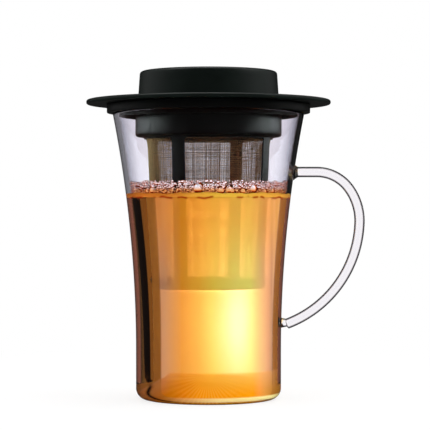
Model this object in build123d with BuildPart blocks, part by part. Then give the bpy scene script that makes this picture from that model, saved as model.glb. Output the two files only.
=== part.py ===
from build123d import *
from math import asin, pi, sin, sqrt
import os

# A glass tea mug with a drop-in infuser basket and a lift-off lid, in millimetres.
# The origin is the centre of the cup's foot, +Z runs up the cup's axis, and +X points to the handle.
# The basket hangs from the cup's lip by its rim dish, and the lid stands on the dish's wall.

# Glass cup: a straight foot that flares to the lip on one long arc.
cup_height = 134.0
cup_foot_radius = 34.0
cup_lip_radius = 45.0
flare_start = 22.0
cup_wall = 2.2
cup_floor = 3.6
heel_radius = 5.0
inner_heel_radius = 4.0
lip_rounding = 0.9

# Glass handle: one bent rod, held off the wall and fused to it by a gather of glass at each end.
rod_radius = 2.45
handle_top_height = 106.4
handle_foot_height = 35.0
handle_run = 8.5
shoulder_bend_radius = 18.6
shoulder_bend_angle = 54.0
side_bend_radius = 26.0
side_bend_angle = 38.0
top_gather_length = 2.2
top_gather_radius = 3.8
foot_gather_length = 2.4
foot_gather_rise = 0.6
foot_gather_neck = 1.7
foot_gather_radius = 2.4

# Rim dish of the infuser basket, which stands on the cup's lip and is centred by a ring inside it.
dish_radius = 47.7
dish_height = 4.0
dish_wall = 1.8
dish_floor = 1.8
dish_rounding = 0.4
centring_ring_depth = 2.0
centring_ring_wall = 1.6
centring_clearance = 0.45

# Collar and cage of the infuser basket, one moulding with the dish.
collar_radius = 34.3
collar_wall = 1.8
collar_depth = 11.0
collar_rounding = 1.2
shoulder_drop = 0.6
shoulder_cove = 0.3
cage_top_radius = 30.3
cage_foot_radius = 27.0
cage_wall = 1.8
basket_depth = 82.0
foot_ring_height = 4.8
foot_taper_height = 3.6
foot_taper = 1.2
ledge_width = 2.4
ledge_height = 1.6
window_head = 0.7
window_rounding = 1.0
rib_count = 4
rib_width = 7.0
first_rib_angle = -117.0

# Steel gauze: a tapered sleeve, flared at its top and let into the cage, and a disc on its ledge.
gauze_thickness = 0.3
gauze_clearance = 0.05
sleeve_seat = 0.8
sleeve_flare = 0.7
sleeve_flare_height = 6.0

# Lid: a hat-shaped moulding whose brim stands on the dish's wall.
brim_radius = 57.3
brim_thickness = 2.0
brim_rounding = 0.8
crown_foot_radius = 33.1
crown_top_radius = 32.2
crown_height = 13.5
crown_rounding = 1.5
crown_foot_rounding = 0.8
lid_wall = 1.8
spigot_wall = 1.6
spigot_depth = 1.5
spigot_clearance = 0.6

# Values that follow from the sizes above.
flare_rise = cup_height - flare_start
flare_reach = cup_lip_radius - cup_foot_radius
flare_radius = (flare_rise**2 + flare_reach**2) / (2 * flare_reach)
cage_top = cup_height - collar_depth - shoulder_drop
basket_foot = cup_height - basket_depth
ledge_top = basket_foot + ledge_height
window_foot = basket_foot + foot_ring_height
window_top = cage_top - window_head
sleeve_foot = window_foot - sleeve_seat
sleeve_top = window_top + sleeve_seat
lid_seat = cup_height + dish_height
brim_top = lid_seat + brim_thickness
lid_top = brim_top + crown_height


def cup_radius(height, inset=0.0):
    """Radius of the cup's outer surface at a height, or of the surface that lies inset within it."""
    rise = max(height - flare_start, 0.0)
    return cup_foot_radius + flare_radius - sqrt((flare_radius + inset) ** 2 - rise**2)


def cage_radius(height, inset=0.0):
    """Radius of the cage's outer cone at a height, less an inset."""
    taper = (cage_top_radius - cage_foot_radius) / (cage_top - basket_foot)
    return cage_foot_radius + taper * (height - basket_foot) - inset


def round_corners(sketch, radius, *corners):
    """Round the sketch's corners that lie nearest to the given points."""
    fillet([sketch.vertices().sort_by_distance(corner)[0] for corner in corners], radius)


def cup_outline(floor, inset, heel):
    """Half section, from the axis out, of the cup's body or of the hollow that lies inset within it."""
    with BuildSketch(Plane.XZ) as outline:
        with BuildLine():
            foot_radius = cup_foot_radius - inset
            foot = Polyline((0, cup_height), (0, floor), (foot_radius, floor), (foot_radius, flare_start))
            flare = TangentArc(foot @ 1, (cup_radius(cup_height, inset), cup_height), tangent=(0, 1))
            Line(flare @ 1, foot @ 0)
        make_face()
        round_corners(outline, heel, (foot_radius, floor))
    return outline.sketch


def gather(start, along, neck_radius, wall_radius, length):
    """A round gather of glass that flares from its neck at the start to the wall that trims it."""
    overrun = length + wall_radius
    with BuildSketch(Plane(start, x_dir=along, z_dir=(0, 1, 0))) as outline:
        with BuildLine():
            neck = Line((0, 0), (0, neck_radius))
            flare = TangentArc(neck @ 1, (length, wall_radius), tangent=(1, 0))
            Polyline(flare @ 1, (overrun, wall_radius), (overrun, 0), neck @ 0)
        make_face()
    revolve(outline.sketch, axis=Axis(start, along))


# Cup
with BuildPart() as cup_blank:
    revolve(cup_outline(0, 0, heel_radius))

with BuildPart() as glass_cup:
    add(cup_blank.part)
    revolve(cup_outline(cup_floor, cup_wall, inner_heel_radius), mode=Mode.SUBTRACT)
    fillet(glass_cup.faces().sort_by(Axis.Z)[-1].edges(), lip_rounding)

# Handle
top_wall = cup_radius(handle_top_height)
foot_wall = cup_radius(handle_foot_height)
with BuildLine(Plane.XZ) as handle_line:
    run = Line(
        (top_wall + top_gather_length, handle_top_height),
        (top_wall + top_gather_length + handle_run, handle_top_height),
    )
    shoulder = JernArc(run @ 1, run % 1, shoulder_bend_radius, -shoulder_bend_angle)
    side = JernArc(shoulder @ 1, shoulder % 1, side_bend_radius, -side_bend_angle)
    TangentArc(side @ 1, Vector(foot_wall + foot_gather_length, 0, handle_foot_height), tangent=side % 1)
handle_path = handle_line.wire()

with BuildPart() as glass_handle:
    with BuildSketch(Plane(handle_path @ 0, z_dir=handle_path % 0)):
        Circle(rod_radius)
    sweep(path=handle_path)

with BuildPart() as handle_top_gather:
    gather(handle_path @ 0, (-1, 0, 0), rod_radius, top_gather_radius, top_gather_length)
    add(cup_blank.part, mode=Mode.SUBTRACT)

# The rod's end face looks downwards, so the foot gather starts inside it and keeps what lies beyond.
with BuildPart() as handle_foot_gather:
    foot_start = handle_path @ 1 + Vector(rod_radius, 0, foot_gather_rise)
    gather(foot_start, (-1, 0, 0), foot_gather_neck, foot_gather_radius, foot_gather_length + rod_radius)
    split(bisect_by=Plane(handle_path @ 1, z_dir=handle_path % 1), keep=Keep.TOP)
    add(cup_blank.part, mode=Mode.SUBTRACT)

# Infuser basket
collar_foot = cup_height - collar_depth
dish_bore = dish_radius - dish_wall
collar_bore = collar_radius - collar_wall
ring_foot = cup_height - centring_ring_depth
ring_radius = cup_radius(ring_foot, cup_wall) - centring_clearance
ring_bore = ring_radius - centring_ring_wall
shoulder_slope = shoulder_drop / (collar_radius - cage_top_radius)
shoulder_lift = cage_wall * (sqrt(1 + shoulder_slope**2) - shoulder_slope)
taper_top = basket_foot + foot_taper_height
ledge_bore = cage_radius(basket_foot, cage_wall) - ledge_width
cage_mouth = cage_radius(sleeve_top, cage_wall) + sleeve_flare


def sleeve_side(offset):
    """Draw the sleeve's side from foot to top, at an offset outwards from its inner face."""
    flare_foot = sleeve_top - sleeve_flare_height
    taper = Line(
        (cage_radius(sleeve_foot, cage_wall) + offset, sleeve_foot),
        (cage_radius(flare_foot, cage_wall) + offset, flare_foot),
    )
    return TangentArc(taper @ 1, (cage_mouth + offset, sleeve_top), tangent=taper % 1) @ 1


def window_half_width(height):
    """Half the gap between two ribs at a height, measured across the cage's outer face."""
    radius = cage_radius(height)
    return radius * sin(pi / rib_count - asin(rib_width / 2 / radius))


with BuildPart() as window_core:
    with BuildSketch(Plane((0, 0, 0), x_dir=(0, 1, 0), z_dir=(1, 0, 0))) as opening:
        with BuildLine():
            foot_corner = window_half_width(window_foot)
            top_corner = window_half_width(window_top)
            Polyline(
                (-foot_corner, window_foot),
                (foot_corner, window_foot),
                (top_corner, window_top),
                (-top_corner, window_top),
                close=True,
            )
        make_face()
        fillet(opening.vertices(), window_rounding)
    extrude(amount=collar_radius)

with BuildPart() as infuser_frame:
    with BuildSketch(Plane.XZ) as frame_outline:
        with BuildLine():
            outside = Polyline(
                (dish_bore, cup_height + dish_floor),
                (dish_bore, lid_seat),
                (dish_radius, lid_seat),
                (dish_radius, cup_height),
                (ring_radius, cup_height),
                (ring_radius, ring_foot),
                (ring_bore, ring_foot),
                (ring_bore, cup_height),
                (collar_radius, cup_height),
                (collar_radius, collar_foot),
                (cage_top_radius, cage_top),
                (cage_radius(taper_top), taper_top),
                (cage_radius(taper_top) - foot_taper, basket_foot),
                (ledge_bore, basket_foot),
                (ledge_bore, ledge_top),
                (cage_radius(ledge_top, cage_wall), ledge_top),
                (cage_radius(sleeve_foot, cage_wall), sleeve_foot),
                (cage_radius(sleeve_foot, cage_wall) + gauze_thickness + gauze_clearance, sleeve_foot),
            )
            rebate_top = sleeve_side(gauze_thickness + gauze_clearance)
            Polyline(
                rebate_top,
                (cage_mouth, sleeve_top),
                (cage_mouth, cage_top + shoulder_lift),
                (collar_bore, collar_foot + shoulder_lift),
                (collar_bore, cup_height + dish_floor),
                outside @ 0,
            )
        make_face()
        round_corners(frame_outline, dish_rounding, (dish_radius, lid_seat), (dish_radius, cup_height))
        round_corners(frame_outline, collar_rounding, (collar_radius, collar_foot))
        round_corners(frame_outline, shoulder_cove, (cage_top_radius, cage_top))
    revolve()
    with PolarLocations(0, rib_count, start_angle=first_rib_angle + 180 / rib_count):
        add(window_core.part, mode=Mode.SUBTRACT)

# Gauze
with BuildPart() as mesh_sleeve:
    with BuildSketch(Plane.XZ):
        with BuildLine():
            inner_top = sleeve_side(0)
            outer_top = sleeve_side(gauze_thickness)
            Line(inner_top, outer_top)
            inner_foot = cage_radius(sleeve_foot, cage_wall)
            Line((inner_foot, sleeve_foot), (inner_foot + gauze_thickness, sleeve_foot))
        make_face()
    revolve()

with BuildPart() as mesh_floor:
    with BuildSketch(Plane.XY.offset(ledge_top)):
        Circle(cage_radius(ledge_top, cage_wall) - gauze_clearance)
    extrude(amount=gauze_thickness)

# Lid
spigot_radius = dish_bore - spigot_clearance
with BuildPart() as lid:
    with BuildSketch(Plane.XZ) as lid_outline:
        with BuildLine():
            Polyline(
                (0, lid_top),
                (crown_top_radius, lid_top),
                (crown_foot_radius, brim_top),
                (brim_radius, brim_top),
                (brim_radius, lid_seat),
                (spigot_radius, lid_seat),
                (spigot_radius, lid_seat - spigot_depth),
                (spigot_radius - spigot_wall, lid_seat - spigot_depth),
                (spigot_radius - spigot_wall, lid_seat),
                (crown_foot_radius - lid_wall, lid_seat),
                (crown_foot_radius - lid_wall, brim_top),
                (crown_top_radius - lid_wall, lid_top - lid_wall),
                (0, lid_top - lid_wall),
                close=True,
            )
        make_face()
        round_corners(lid_outline, crown_rounding, (crown_top_radius, lid_top))
        round_corners(lid_outline, crown_foot_rounding, (crown_foot_radius, brim_top))
        round_corners(lid_outline, brim_rounding, (brim_radius, brim_top), (brim_radius, lid_seat))
    revolve()

pieces = {
    "glass_cup": glass_cup,
    "glass_handle": glass_handle,
    "handle_top_gather": handle_top_gather,
    "handle_foot_gather": handle_foot_gather,
    "infuser_frame": infuser_frame,
    "mesh_sleeve": mesh_sleeve,
    "mesh_floor": mesh_floor,
    "lid": lid,
}
os.makedirs("parts", exist_ok=True)
for name, piece in pieces.items():
    piece.part.label = name
    export_step(piece.part, f"parts/{name}.step")
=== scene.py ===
"""A lidded glass tea mug with its infuser basket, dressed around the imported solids.

Sizes are in millimetres, and become metres when a mesh is made. The origin is the centre of the
cup's foot, +Z runs up the cup's axis and +X points to the handle. The tea and its foam are what
the mug holds, and ride with it.
"""

import logging
from dataclasses import dataclass
from enum import Enum
from typing import Any, Sequence

import bmesh
import bpy
import numpy as np
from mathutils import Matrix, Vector


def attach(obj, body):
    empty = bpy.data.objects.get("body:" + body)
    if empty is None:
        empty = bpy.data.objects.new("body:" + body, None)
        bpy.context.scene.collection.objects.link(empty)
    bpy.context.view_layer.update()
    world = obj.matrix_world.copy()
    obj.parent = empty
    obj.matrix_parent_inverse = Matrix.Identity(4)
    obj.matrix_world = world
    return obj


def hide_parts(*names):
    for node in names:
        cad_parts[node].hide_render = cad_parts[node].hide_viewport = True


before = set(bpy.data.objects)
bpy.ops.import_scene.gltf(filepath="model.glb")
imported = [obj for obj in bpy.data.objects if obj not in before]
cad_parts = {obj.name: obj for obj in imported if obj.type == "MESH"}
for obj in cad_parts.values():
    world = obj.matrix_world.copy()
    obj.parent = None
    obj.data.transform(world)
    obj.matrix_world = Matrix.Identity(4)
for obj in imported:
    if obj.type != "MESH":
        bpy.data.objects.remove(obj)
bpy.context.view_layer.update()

MM = 0.001
TURN = 2 * np.pi
NEAR = 0.01  # millimetres apart at which two heights count as the same
Array = np.ndarray
Measure = Array | float
log = logging.getLogger("tea_mug")


class Body(str, Enum):
    """The bodies that move on their own."""

    MUG = "mug"
    INFUSER = "infuser"
    LID = "lid"


class Slot(str, Enum):
    """The record's material slots."""

    GLASS = "clear_glass"
    BASKET = "infuser_plastic"
    LID = "lid_plastic"
    GAUZE = "steel_gauze"


# Surfaces on parameter grids


class Shell:
    """Vertices and faces gathered as arrays, and then put into one mesh object."""

    def __init__(self) -> None:
        """Begin with no points and no faces."""
        self.points: list[Array] = []
        self.faces: list[Array] = []
        self.count = 0

    def add(self, points: Array, faces: Array) -> None:
        """Add points of any grid shape and the faces that index them.

        Args:
            points: array whose last axis is x, y and z.
            faces: array whose last axis is the corners of one face.
        """
        flat = points.reshape(-1, 3)
        self.points.append(flat)
        self.faces.append(faces.reshape(-1, faces.shape[-1]) + self.count)
        self.count += len(flat)

    def grid(self, points: Array) -> None:
        """Add the surface over rows and columns of points, the last column joined to the first.

        Args:
            points: array of rows by columns by 3.
        """
        rows, columns = points.shape[:2]
        index = np.arange(rows * columns).reshape(rows, columns)
        index = np.hstack((index, index[:, :1]))
        cells = (index[:-1, :-1], index[:-1, 1:], index[1:, 1:], index[1:, :-1])
        self.add(points, np.stack(cells, axis=-1))

    def piece(
        self, name: str, *materials: bpy.types.Material, weld: bool = False
    ) -> bpy.types.Object:
        """Make the object, in metres and with smooth faces.

        Args:
            name: name of the piece.
            materials: its materials; all faces have the first.
            weld: merge points that coincide, and turn the faces outwards.

        Returns:
            The object, at the origin.
        """
        points = np.concatenate(self.points) * MM
        sides = np.concatenate([np.full(len(f), f.shape[1]) for f in self.faces])
        corners = np.concatenate([f.ravel() for f in self.faces])
        mesh = bpy.data.meshes.new(name)
        mesh.vertices.add(len(points))
        mesh.vertices.foreach_set("co", points.ravel())
        mesh.loops.add(len(corners))
        mesh.loops.foreach_set("vertex_index", corners.astype(np.int32))
        mesh.polygons.add(len(sides))
        mesh.polygons.foreach_set("loop_start", (np.cumsum(sides) - sides).astype(np.int32))
        mesh.update(calc_edges=True)
        if weld:
            build = bmesh.new()
            build.from_mesh(mesh)
            bmesh.ops.remove_doubles(build, verts=build.verts, dist=1e-7)
            bmesh.ops.recalc_face_normals(build, faces=build.faces)
            build.to_mesh(mesh)
            build.free()
        for material in materials:
            mesh.materials.append(material)
        mesh.update()
        return placed(name, mesh)


def placed(name: str, data: Any) -> bpy.types.Object:
    """Put a mesh, light or camera into the scene; a mesh gets smooth faces.

    Args:
        name: name of the object.
        data: what it shows.

    Returns:
        The object, at the origin.
    """
    if isinstance(data, bpy.types.Mesh):
        data.polygons.foreach_set("use_smooth", np.ones(len(data.polygons), bool))
    made = bpy.data.objects.new(name, data)
    bpy.context.scene.collection.objects.link(made)
    return made


def solid(name: str, points: Array, *materials: bpy.types.Material) -> bpy.types.Object:
    """One closed piece over rows and columns of points, welded where they meet.

    Args:
        name: name of the piece.
        points: array of rows by columns by 3.
        materials: its materials; all faces have the first.

    Returns:
        The object, at the origin.
    """
    shell = Shell()
    shell.grid(points)
    return shell.piece(name, *materials, weld=True)


def face_places(made: bpy.types.Object) -> tuple[Array, Array]:
    """Radius and height of the middle of each face, in millimetres.

    Args:
        made: a piece.

    Returns:
        Two arrays, with one number for each face.
    """
    middles = np.zeros(len(made.data.polygons) * 3)
    made.data.polygons.foreach_get("center", middles)
    x, y, height = middles.reshape(-1, 3).T / MM
    return np.hypot(x, y), height


def give_second(made: bpy.types.Object, chosen: Array) -> None:
    """Give the second material to the faces that are chosen."""
    made.data.polygons.foreach_set("material_index", chosen.astype(np.int32))


def polar(radius: Measure, angle: Measure, height: Measure) -> Array:
    """Points from radius, angle about the axis and height, broadcast together."""
    radius, angle, height = np.broadcast_arrays(radius, angle, height)
    return np.stack((radius * np.cos(angle), radius * np.sin(angle), height), axis=-1)


def full_turn(segments: int, start: float = 0.0) -> Array:
    """Evenly spaced angles round one turn, without the last."""
    return start + TURN * np.arange(segments) / segments


def revolve(outline: Array, angles: Array) -> Array:
    """Carry an outline of radius and height round the axis: one row for each of its points."""
    return polar(outline[:, :1], angles[None, :], outline[:, 1:])


def rounded(corners: Sequence[Sequence[float]], step: float = 2.0, steps: int = 7) -> Array:
    """Draw an open outline whose corners are arcs tangent to both of their sides.

    An arc of radius r at a corner of half angle h has its centre r / sin h along the bisector, and
    touches each side r / tan h from the corner. Each straight is then divided evenly.

    Args:
        corners: radius, height and rounding of each corner; no rounding keeps the point.
        step: longest division of a straight.
        steps: divisions of each arc.

    Returns:
        Array of points by 2.
    """
    drawn: list[Array] = []
    places = np.array([c[:2] for c in corners], float)
    for k, (place, corner) in enumerate(zip(places, corners)):
        rounding = corner[2] if len(corner) > 2 else 0.0
        if rounding and 0 < k < len(corners) - 1:
            back, ahead = places[k - 1] - place, places[k + 1] - place
            back, ahead = back / np.linalg.norm(back), ahead / np.linalg.norm(ahead)
            half = np.arccos(np.clip(back @ ahead, -1, 1)) / 2
            middle = (back + ahead) / np.linalg.norm(back + ahead)
            centre = place + middle * rounding / np.sin(half)
            first = place + back * rounding / np.tan(half) - centre
            turn = (np.pi - 2 * half) * np.sign(first[0] * -middle[1] - first[1] * -middle[0])
            swing = turn * np.linspace(0, 1, steps + 1)[:, None]
            side = np.array((-first[1], first[0]))
            drawn.append(centre + first * np.cos(swing) + side * np.sin(swing))
        else:
            drawn.append(place[None, :])
    points = np.concatenate(drawn)
    length = np.linalg.norm(np.diff(points, axis=0), axis=1)
    parts = np.maximum(np.ceil(length / step).astype(int), 1)
    sections = [
        a + (b - a) * np.arange(n)[:, None] / n for a, b, n in zip(points[:-1], points[1:], parts)
    ]
    return np.concatenate((*sections, points[-1:]))


def tubes(path: Array, outward: Array, radius: float, closed: bool) -> Array:
    """Three-sided wires along paths, as one grid for each wire.

    The section's corners lie at a right angle to the run and a third of a turn apart, one of them
    straight outwards.

    Args:
        path: array of wires by points by 3.
        outward: direction away from the cloth's face at each point, not in line with the run.
        radius: distance of the corners from the path.
        closed: the wires close on themselves.

    Returns:
        Array of wires by points by 3 corners by 3.
    """
    if closed:
        run = np.roll(path, -1, axis=1) - np.roll(path, 1, axis=1)
    else:
        run = np.gradient(path, axis=1)
    side = np.cross(run, outward)
    side /= np.linalg.norm(side, axis=-1, keepdims=True)
    up = np.cross(side, run)
    up /= np.linalg.norm(up, axis=-1, keepdims=True)
    angle = full_turn(3)
    return path[:, :, None] + radius * (
        up[:, :, None] * np.cos(angle)[:, None] + side[:, :, None] * np.sin(angle)[:, None]
    )


def add_wires(shell: Shell, corners: Array, closed: bool, kept: Array | None = None) -> None:
    """Add three-sided wires, with their ends closed by a triangle.

    Args:
        shell: what they are added to.
        corners: array of wires by points by 3 corners by 3.
        closed: the wires close on themselves.
        kept: which stretches between two neighbouring points are made, all of them if None.
    """
    wires, points = corners.shape[:2]
    index = np.arange(wires * points * 3).reshape(wires, points, 3)
    if closed:
        index = np.concatenate((index, index[:, :1]), axis=1)
    around = np.concatenate((index, index[..., :1]), axis=2)
    near, far = around[:, :-1], around[:, 1:]
    quads = np.stack((near[..., :-1], near[..., 1:], far[..., 1:], far[..., :-1]), axis=-1)
    if kept is None:
        kept = np.ones(quads.shape[:2], bool)
    start = shell.count
    shell.add(corners, quads[kept])
    if not closed:
        gap = np.zeros((wires, 1), bool)
        begins = kept & ~np.hstack((gap, kept[:, :-1]))
        ends = kept & ~np.hstack((kept[:, 1:], gap))
        caps = np.concatenate((index[:, :-1][begins][:, ::-1], index[:, 1:][ends]))
        shell.faces.append(caps + start)


def fused(name: str, whole: bpy.types.Object, *parts: bpy.types.Object) -> bpy.types.Object:
    """Fuse closed shapes into one, with no wall left between them.

    Args:
        name: name of the piece.
        whole: the shape that is kept.
        parts: the shapes that are fused to it, and used up.

    Returns:
        The object, at the origin.
    """
    for part in parts:
        union = whole.modifiers.new(part.name, "BOOLEAN")
        union.operation, union.solver, union.object = "UNION", "MANIFOLD", part
    seen = whole.evaluated_get(bpy.context.evaluated_depsgraph_get())
    mesh = bpy.data.meshes.new_from_object(seen)
    mesh.materials.clear()
    for spent in (whole, *parts):
        bpy.data.objects.remove(spent)
    return placed(name, mesh)


# Materials


# Where the outputs that are used lie in their nodes' lists
GENERATED, OBJECT = 0, 3
NORMAL, BACKFACING = 1, 6
FACING = 1
IS_CAMERA, IS_TRANSMISSION, DIFFUSE_DEPTH, GLOSSY_DEPTH, TRANSMISSION_DEPTH = 0, 6, 10, 11, 13


class Signal:
    """A shader socket that takes part in arithmetic, adding a Math node for each operation."""

    def __init__(self, dress: "Dress", socket: bpy.types.NodeSocket) -> None:
        """Wrap a socket of a node tree that is being drawn up."""
        self.dress, self.socket = dress, socket

    def math(self, operation: str, other: Any = 0.0) -> "Signal":
        """One Math node on this and another value."""
        return self.dress.math(operation, self, other)

    def __add__(self, other: Any) -> "Signal":
        """Sum."""
        return self.math("ADD", other)

    __radd__ = __add__

    def __sub__(self, other: Any) -> "Signal":
        """Difference."""
        return self.math("SUBTRACT", other)

    def __rsub__(self, other: Any) -> "Signal":
        """Difference from a plain number."""
        return self.dress.math("SUBTRACT", other, self)

    def __mul__(self, other: Any) -> "Signal":
        """Product."""
        return self.math("MULTIPLY", other)

    __rmul__ = __mul__

    def __neg__(self) -> "Signal":
        """The value with its sign turned."""
        return self * -1.0

    def __truediv__(self, other: Any) -> "Signal":
        """Quotient."""
        return self.math("DIVIDE", other)

    def __rtruediv__(self, other: Any) -> "Signal":
        """Quotient of a plain number."""
        return self.dress.math("DIVIDE", other, self)

    def over(self, limit: Any) -> "Signal":
        """1 where this is over a limit, and 0 elsewhere."""
        return self.math("GREATER_THAN", limit)

    def under(self, limit: Any) -> "Signal":
        """1 where this is under a limit, and 0 elsewhere."""
        return self.math("LESS_THAN", limit)

    def most(self, other: Any) -> "Signal":
        """The larger of the two."""
        return self.math("MAXIMUM", other)

    def bell(self, middle: float, width: float) -> "Signal":
        """e to the power of -((this - middle) / width) squared."""
        off = (self - middle) / width
        return self.dress.math("POWER", np.e, -(off * off))

    def eased(self, low: float, high: float) -> "Signal":
        """0 below one limit, 1 above the other, and smooth between them.

        Args:
            low: where it is 0.
            high: where it is 1.

        Returns:
            The eased value.
        """
        ends = {"From Min": low, "From Max": high}
        smooth = {"interpolation_type": "SMOOTHSTEP"}
        return self.dress.node("MapRange", smooth, {"Value": self, **ends})[0]

    def faded(self, low: float, high: float) -> "Signal":
        """1 below one limit, 0 above the other, and smooth between them."""
        return 1 - self.eased(low, high)

    def between(self, rise: Sequence[float], fall: Sequence[float]) -> "Signal":
        """0 outside, 1 inside, smooth over the pair of limits on each side."""
        return self.eased(*rise) - self.eased(*fall)

    def shared(self, low: Any, high: Any) -> "Signal":
        """Number that goes from low to high as this goes from 0 to 1."""
        return (1 - self) * low + self * high


class Dress:
    """The node tree of one material, or of the world, while it is drawn up."""

    def __init__(self, owner: bpy.types.Material | bpy.types.World) -> None:
        """Begin an empty node tree.

        Args:
            owner: the material or world that it belongs to.
        """
        owner.use_nodes = True
        self.owner, self.tree = owner, owner.node_tree
        self.tree.nodes.clear()

    @classmethod
    def material(cls, name: str) -> "Dress":
        """Begin a new material."""
        return cls(bpy.data.materials.new(name))

    def node(
        self, kind: str, settings: dict[str, Any] | None = None, sockets: dict | None = None
    ) -> list[Signal]:
        """Add a node.

        Args:
            kind: the node's type, without ShaderNode.
            settings: its settings, set first; stops are a ramp's positions and colours.
            sockets: values, or what is linked, by the socket's name or number.

        Returns:
            Its outputs, in order.
        """
        made = self.tree.nodes.new("ShaderNode" + kind)
        for name, value in (settings or {}).items():
            if name == "stops":
                self._stops(made.color_ramp, value)
            else:
                setattr(made, name, value)
        for key, value in (sockets or {}).items():
            if isinstance(value, Signal):
                self.tree.links.new(value.socket, made.inputs[key])
            else:
                made.inputs[key].default_value = value
        return [Signal(self, socket) for socket in made.outputs]

    @staticmethod
    def _stops(ramp: bpy.types.ColorRamp, stops: Sequence[tuple]) -> None:
        """Set a ramp's positions and colours.

        Args:
            ramp: the ramp of a node.
            stops: a position and a colour for each.
        """
        while len(ramp.elements) < len(stops):
            ramp.elements.new(0.5)
        for element, (position, colour) in zip(ramp.elements, stops):
            element.position, element.color = position, (*colour, 1)

    def output(self, surface: Signal, volume: Signal | None = None) -> Any:
        """Link what is finished to the output.

        Args:
            surface: surface shader or background.
            volume: volume shader, if there is one.

        Returns:
            The material or world.
        """
        kind = "OutputWorld" if isinstance(self.owner, bpy.types.World) else "OutputMaterial"
        self.node(kind, {}, {"Surface": surface, **({"Volume": volume} if volume else {})})
        return self.owner

    def math(self, operation: str, first: Any, second: Any) -> Signal:
        """One Math node on two values."""
        return self.node("Math", {"operation": operation}, {0: first, 1: second})[0]

    def vector(self, operation: str, first: Any, second: Any) -> list[Signal]:
        """One Vector Math node: its outputs are a vector and a number."""
        return self.node("VectorMath", {"operation": operation}, {0: first, 1: second})

    def place(self) -> Signal:
        """Object coordinates, in metres."""
        return self.node("TexCoord")[OBJECT]

    def axes(self, vector: Signal) -> list[Signal]:
        """The three parts of a vector."""
        return self.node("SeparateXYZ", {}, {0: vector})

    def facing(self) -> Signal:
        """0 where the surface is seen squarely, rising to 1 at its outline."""
        return self.node("LayerWeight", {}, {"Blend": 0.5})[FACING]

    def noise(self, scale: float, detail: float = 2.0, stretch: tuple = (1, 1, 1)) -> Signal:
        """Noise from 0 to 1, in features to the metre, drawn out along the axes."""
        mapped = self.node("Mapping", {}, {"Vector": self.place(), "Scale": stretch})[0]
        return self.node("TexNoise", {}, {"Vector": mapped, "Scale": scale, "Detail": detail})[0]

    def ramp(self, stops: Sequence[tuple], at: Signal) -> Signal:
        """Colour on a ramp of positions and colours."""
        return self.node("ValToRGB", {"stops": stops}, {0: at})[0]

    def blend(self, share: Signal, low: Any, high: Any) -> Signal:
        """Colour that goes from low to high as the share goes from 0 to 1."""
        colours = {k: (*v, 1) if isinstance(v, tuple) else v for k, v in ((6, low), (7, high))}
        return self.node("Mix", {"data_type": "RGBA"}, {0: share, **colours})[2]

    def layered(self, colour: Any, *layers: tuple[Signal, Any]) -> Signal:
        """Lay colours over a colour.

        Args:
            colour: what lies under them.
            layers: the share that each covers, and its colour.

        Returns:
            The colour.
        """
        for share, layer in layers:
            colour = self.blend(share, colour, layer)
        return colour

    def covered(self, surface: Signal, *layers: tuple[Signal, Signal]) -> Signal:
        """Lay surfaces over a surface.

        Args:
            surface: what lies under them.
            layers: the share that each covers, and its surface.

        Returns:
            The surface.
        """
        for share, layer in layers:
            surface = self.node("MixShader", {}, {0: share, 1: surface, 2: layer})[0]
        return surface

    def principled(self, sockets: dict[str, Any]) -> Signal:
        """A Principled surface."""
        return self.node("BsdfPrincipled", {}, sockets)[0]

    def clear(self, colour: Any, ior: float) -> Signal:
        """A smooth surface that lets the light through."""
        smooth = {"Roughness": 0.0, "Transmission Weight": 1.0}
        return self.principled({"Base Color": colour, "IOR": ior, **smooth})


@dataclass(frozen=True)
class GlassFinish:
    """Drawn borosilicate glass, greyed towards its outline with painted shade for its dark edges.
    """

    name: str
    stops: tuple
    ior: float = 1.47

    def make(self) -> bpy.types.Material:
        """Draw up the material."""
        dress = Dress.material(self.name)
        return dress.output(dress.clear(dress.ramp(self.stops, dress.facing()), self.ior))


# Painted shade: the wall's colour greys towards its outline.
WALL_GLASS = GlassFinish(
    "wall_glass",
    (
        (0.0, (0.975, 0.955, 0.985)),
        (0.25, (0.96, 0.93, 0.985)),
        (0.5, (0.88, 0.86, 0.95)),
        (0.72, (0.62, 0.63, 0.75)),
        (1.0, (0.48, 0.46, 0.50)),
    ),
)
# Painted shade: the rod's colour turns black at its outline.
ROD_GLASS = GlassFinish(
    "rod_glass",
    (
        (0.0, (0.96, 0.93, 0.98)),
        (0.06, (1.0, 0.99, 1.0)),
        (0.17, (0.97, 0.92, 0.98)),
        (0.25, (0.35, 0.31, 0.35)),
        (0.31, (0.008, 0.008, 0.008)),
    ),
)


@dataclass(frozen=True)
class TeaFinish:
    """Black tea, which takes the blue and then the green out of the light."""

    name: str = "tea_surface"
    colour: tuple = (0.972, 0.669, 0.2)
    density: float = 45.0
    ior: float = 1.33

    def skin(self, dress: Dress) -> Signal:
        """Its clear surface."""
        return dress.clear((1, 1, 1, 1), self.ior)

    def make(self) -> bpy.types.Material:
        """Draw up the material.

        Returns:
            The material.
        """
        dress = Dress.material(self.name)
        sockets = {"Color": (*self.colour, 1), "Density": self.density}
        return dress.output(self.skin(dress), dress.node("VolumeAbsorption", {}, sockets)[0])


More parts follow.
